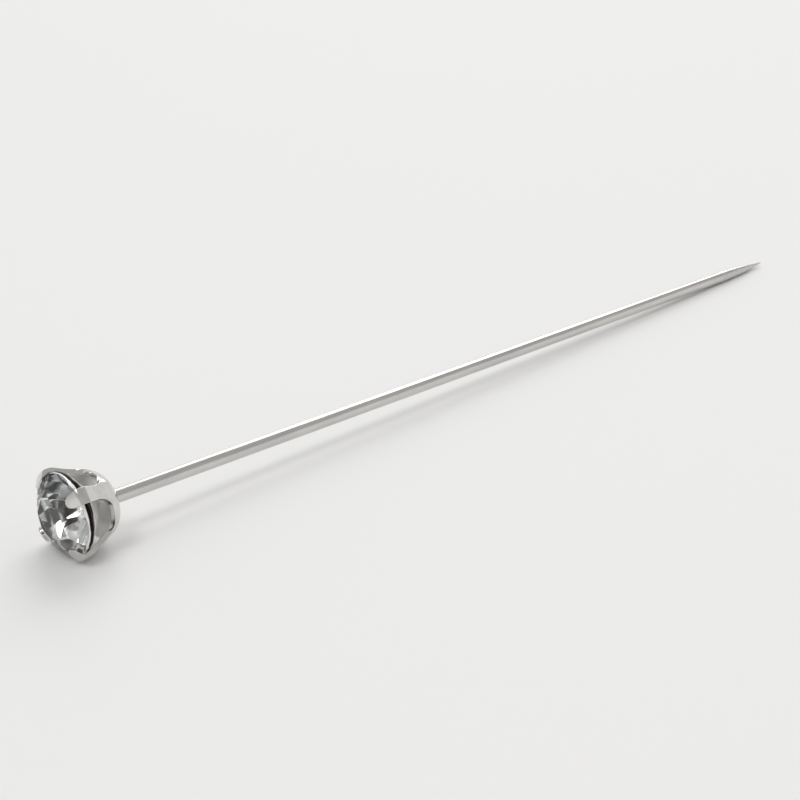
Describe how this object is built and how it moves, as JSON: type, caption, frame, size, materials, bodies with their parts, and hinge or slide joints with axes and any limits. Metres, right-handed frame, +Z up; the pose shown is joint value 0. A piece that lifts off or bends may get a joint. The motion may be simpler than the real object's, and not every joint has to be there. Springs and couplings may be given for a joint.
{
  "type": "diamante pin",
  "caption": "Long straight steel pin with a sharp point and a round faceted glass stone held by folded claws at its head, lying on its side.",
  "frame": {"origin": "middle of the pin's length, on the surface that it lies on", "axes": "+X along the pin towards its point, +Z up"},
  "size_m": [0.06, 0.0044, 0.0044],
  "materials": {
    "plated_steel": "bright nickel plate",
    "silver_plate": "bright silver plate",
    "solder": "satin",
    "foiled_glass": "polished, silver foil behind"
  },
  "bodies": {
    "root": {"shaft": "plated_steel", "claw_setting": "silver_plate", "solder_fillet": "solder", "rhinestone": "foiled_glass"}
  },
  "joints": []
}
